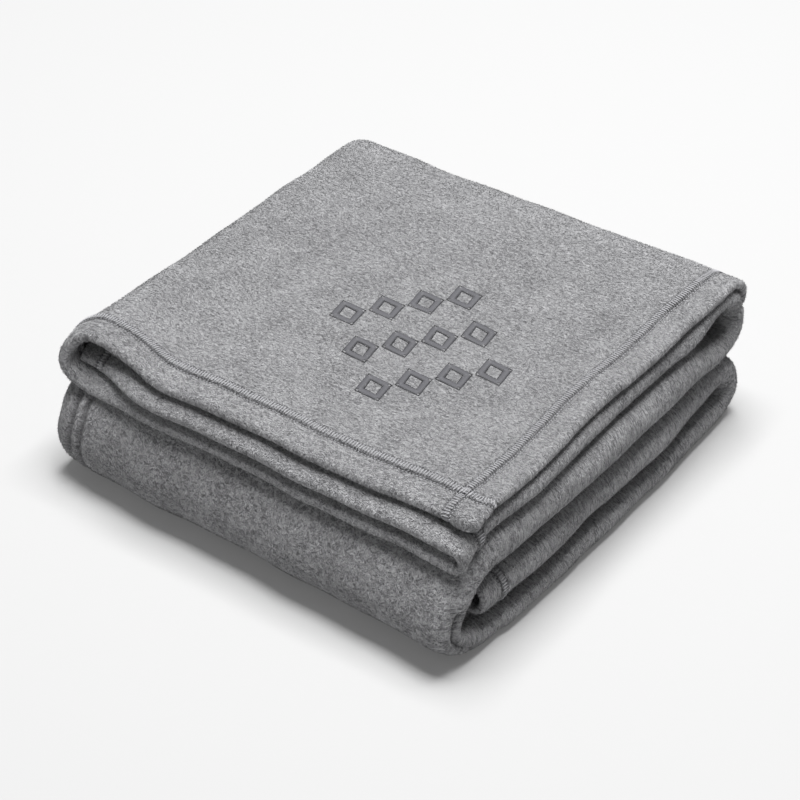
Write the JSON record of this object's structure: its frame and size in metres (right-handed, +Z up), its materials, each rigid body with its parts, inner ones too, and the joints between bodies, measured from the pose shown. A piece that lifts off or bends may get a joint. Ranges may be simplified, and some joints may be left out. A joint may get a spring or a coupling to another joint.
{
  "type": "folded throw blanket",
  "caption": "Plush fleece throw blanket folded into a block, with sewn hems, a corner overlap and an embroidered motif; its upper legs open about their folds.",
  "frame": {"origin": "on the floor under the middle of the folded block", "axes": "+Z up; +X along the block's longer side, from the left folds to the right folds with the flap's hemmed edge; +Y from the front roll to the back folds"},
  "size_m": [0.456, 0.443, 0.1448],
  "materials": {
    "fleece": "matt plush pile with a soft sheen, mottled where the nap turns",
    "sewing_thread": "spun sewing thread, slightly lustrous",
    "motif_thread": "satin-stitched embroidery thread, lustrous along the stitch"
  },
  "bodies": {
    "lower_stack": {"bottom_flap": "fleece", "bottom_tucked_layer": "fleece", "bottom_under_layer": "fleece", "bottom_left_fold": "fleece", "bottom_right_fold": "fleece", "tail_flap": "fleece", "tail_tucked_layer": "fleece", "tail_under_layer": "fleece", "tail_left_fold": "fleece", "tail_right_fold": "fleece", "tail_fold": "fleece", "tail_end_hem": "fleece", "front_roll_lower": "fleece"},
    "second_leg": {"second_flap": "fleece", "second_tucked_layer": "fleece", "second_under_layer": "fleece", "second_left_fold": "fleece", "second_right_fold": "fleece", "back_fold_lower": "fleece", "front_roll_upper": "fleece"},
    "top_leg": {"top_flap": "fleece", "top_tucked_layer": "fleece", "top_under_layer": "fleece", "top_left_fold": "fleece", "top_right_fold": "fleece", "back_fold_upper": "fleece", "flap_front_hem": "fleece", "tucked_front_hem": "fleece", "under_front_hem": "fleece", "flap_side_hem": "fleece", "corner_tab": "fleece", "side_hem_stitching": "sewing_thread", "front_hem_stitching": "sewing_thread", "corner_stitching": "sewing_thread", "motif_embroidery": "motif_thread"}
  },
  "joints": [
    {"name": "front_roll_opening", "type": "hinge", "parent": "lower_stack", "child": "second_leg", "pos_m": [0, -0.21584, 0.068], "axis": [1, 0, 0], "range_deg": [0, 110]},
    {"name": "back_fold_opening", "type": "hinge", "parent": "second_leg", "child": "top_leg", "pos_m": [0, 0.222, 0.112], "axis": [-1, 0, 0], "range_deg": [0, 175]}
  ]
}
